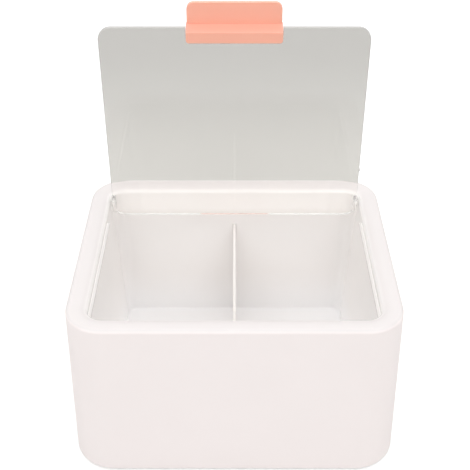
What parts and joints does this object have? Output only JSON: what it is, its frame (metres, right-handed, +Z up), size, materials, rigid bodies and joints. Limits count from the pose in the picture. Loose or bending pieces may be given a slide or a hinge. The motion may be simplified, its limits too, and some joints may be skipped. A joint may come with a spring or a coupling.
{
  "type": "cotton pad holder",
  "caption": "Round-cornered white box with a clear flip lid, a coral clip handle and a thin divider that splits the tub into compartments for cotton pads.",
  "frame": {"origin": "middle of the resting plane under the four feet", "axes": "+Z up, -Y towards the front with the lid's handle, +X to the right seen from the front"},
  "size_m": [0.1536, 0.1306, 0.191],
  "materials": {
    "white_body": "satin moulded white with a faint warm cast",
    "white_divider": "satin moulded white",
    "white_base": "fine matt moulded white",
    "foot_pad": "soft matt grey",
    "clear_lid": "polished clear, lightly smoked",
    "coral_handle": "satin moulded coral"
  },
  "bodies": {
    "box": {"body_shell": "white_body", "divider": "white_divider", "base_plate": "white_base", "foot_front_left": "foot_pad", "foot_front_right": "foot_pad", "foot_rear_left": "foot_pad", "foot_rear_right": "foot_pad"},
    "lid": {"lid_panel": "clear_lid", "lid_handle": "coral_handle"}
  },
  "joints": [
    {"name": "lid_hinge", "type": "hinge", "parent": "box", "child": "lid", "pos_m": [0, 0.0454, 0.0816], "axis": [1, 0, 0], "range_deg": [-45, 88]}
  ]
}
